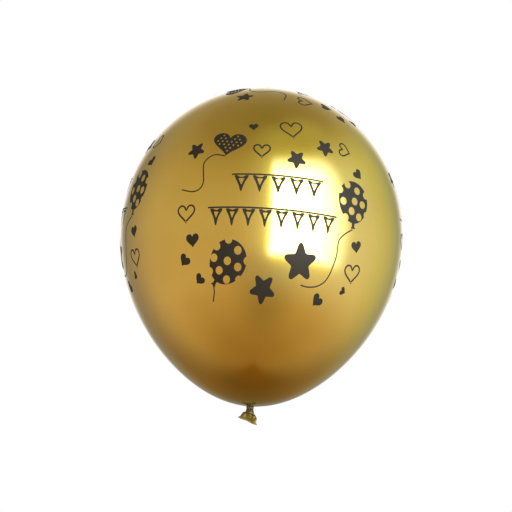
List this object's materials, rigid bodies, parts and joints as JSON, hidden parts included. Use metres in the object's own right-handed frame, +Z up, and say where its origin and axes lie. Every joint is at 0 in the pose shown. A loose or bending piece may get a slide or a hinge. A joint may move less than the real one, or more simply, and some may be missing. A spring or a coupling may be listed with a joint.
{
  "type": "latex balloon",
  "caption": "Inflated pear-shaped gold latex balloon tied in a knot, with a flat tail and dark party motifs printed round its sides and crown.",
  "frame": {"origin": "the tie: the middle of the groove between the balloon's neck and its knot", "axes": "+Z up the balloon's axis to its crown, -Y towards the front print, +X to the right of someone who looks at the front print"},
  "size_m": [0.3008, 0.3008, 0.3608],
  "materials": {
    "gold_latex": "satin metallic gold latex, stretched smooth",
    "black_ink": "thin stretched dark screen-print ink with a soft gloss"
  },
  "bodies": {
    "knot": {"knot_core": "gold_latex", "knot_loop": "gold_latex"},
    "neck_lower": {"neck_lower": "gold_latex"},
    "neck_upper": {"neck_upper": "gold_latex"},
    "envelope": {"envelope": "gold_latex", "front_stars": "black_ink", "front_hearts": "black_ink", "front_outlined_hearts": "black_ink", "front_balloons": "black_ink", "front_strings": "black_ink", "front_bunting": "black_ink", "right_stars": "black_ink", "right_hearts": "black_ink", "right_outlined_hearts": "black_ink", "right_balloons": "black_ink", "right_strings": "black_ink", "right_bunting": "black_ink", "back_stars": "black_ink", "back_hearts": "black_ink", "back_outlined_hearts": "black_ink", "back_balloons": "black_ink", "back_strings": "black_ink", "back_bunting": "black_ink", "left_stars": "black_ink", "left_hearts": "black_ink", "left_outlined_hearts": "black_ink", "left_balloons": "black_ink", "left_strings": "black_ink", "left_bunting": "black_ink", "crown_stars": "black_ink", "crown_hearts": "black_ink", "crown_outlined_hearts": "black_ink", "crown_balloons": "black_ink", "crown_strings": "black_ink", "crown_bunting": "black_ink"},
    "tail": {"tail": "gold_latex", "tail_lip": "gold_latex"}
  },
  "joints": [
    {"name": "side_sway", "type": "hinge", "parent": "knot", "child": "neck_lower", "pos_m": [0, 0, 0], "axis": [0, 1, 0], "range_deg": [-20, 20], "stiffness_Nm_per_rad": 0.03},
    {"name": "fore_sway", "type": "hinge", "parent": "neck_lower", "child": "neck_upper", "pos_m": [0, 0, 0], "axis": [1, 0, 0], "range_deg": [-20, 20], "stiffness_Nm_per_rad": 0.03},
    {"name": "twist", "type": "hinge", "parent": "neck_upper", "child": "envelope", "pos_m": [0, 0, 0], "axis": [0, 0, 1], "range_deg": [-90, 90], "stiffness_Nm_per_rad": 0.002},
    {"name": "tail_flap", "type": "hinge", "parent": "knot", "child": "tail", "pos_m": [0, 0, -0.0058], "axis": [0.9397, 0, -0.342], "range_deg": [-35, 35], "stiffness_Nm_per_rad": 0.0001}
  ]
}
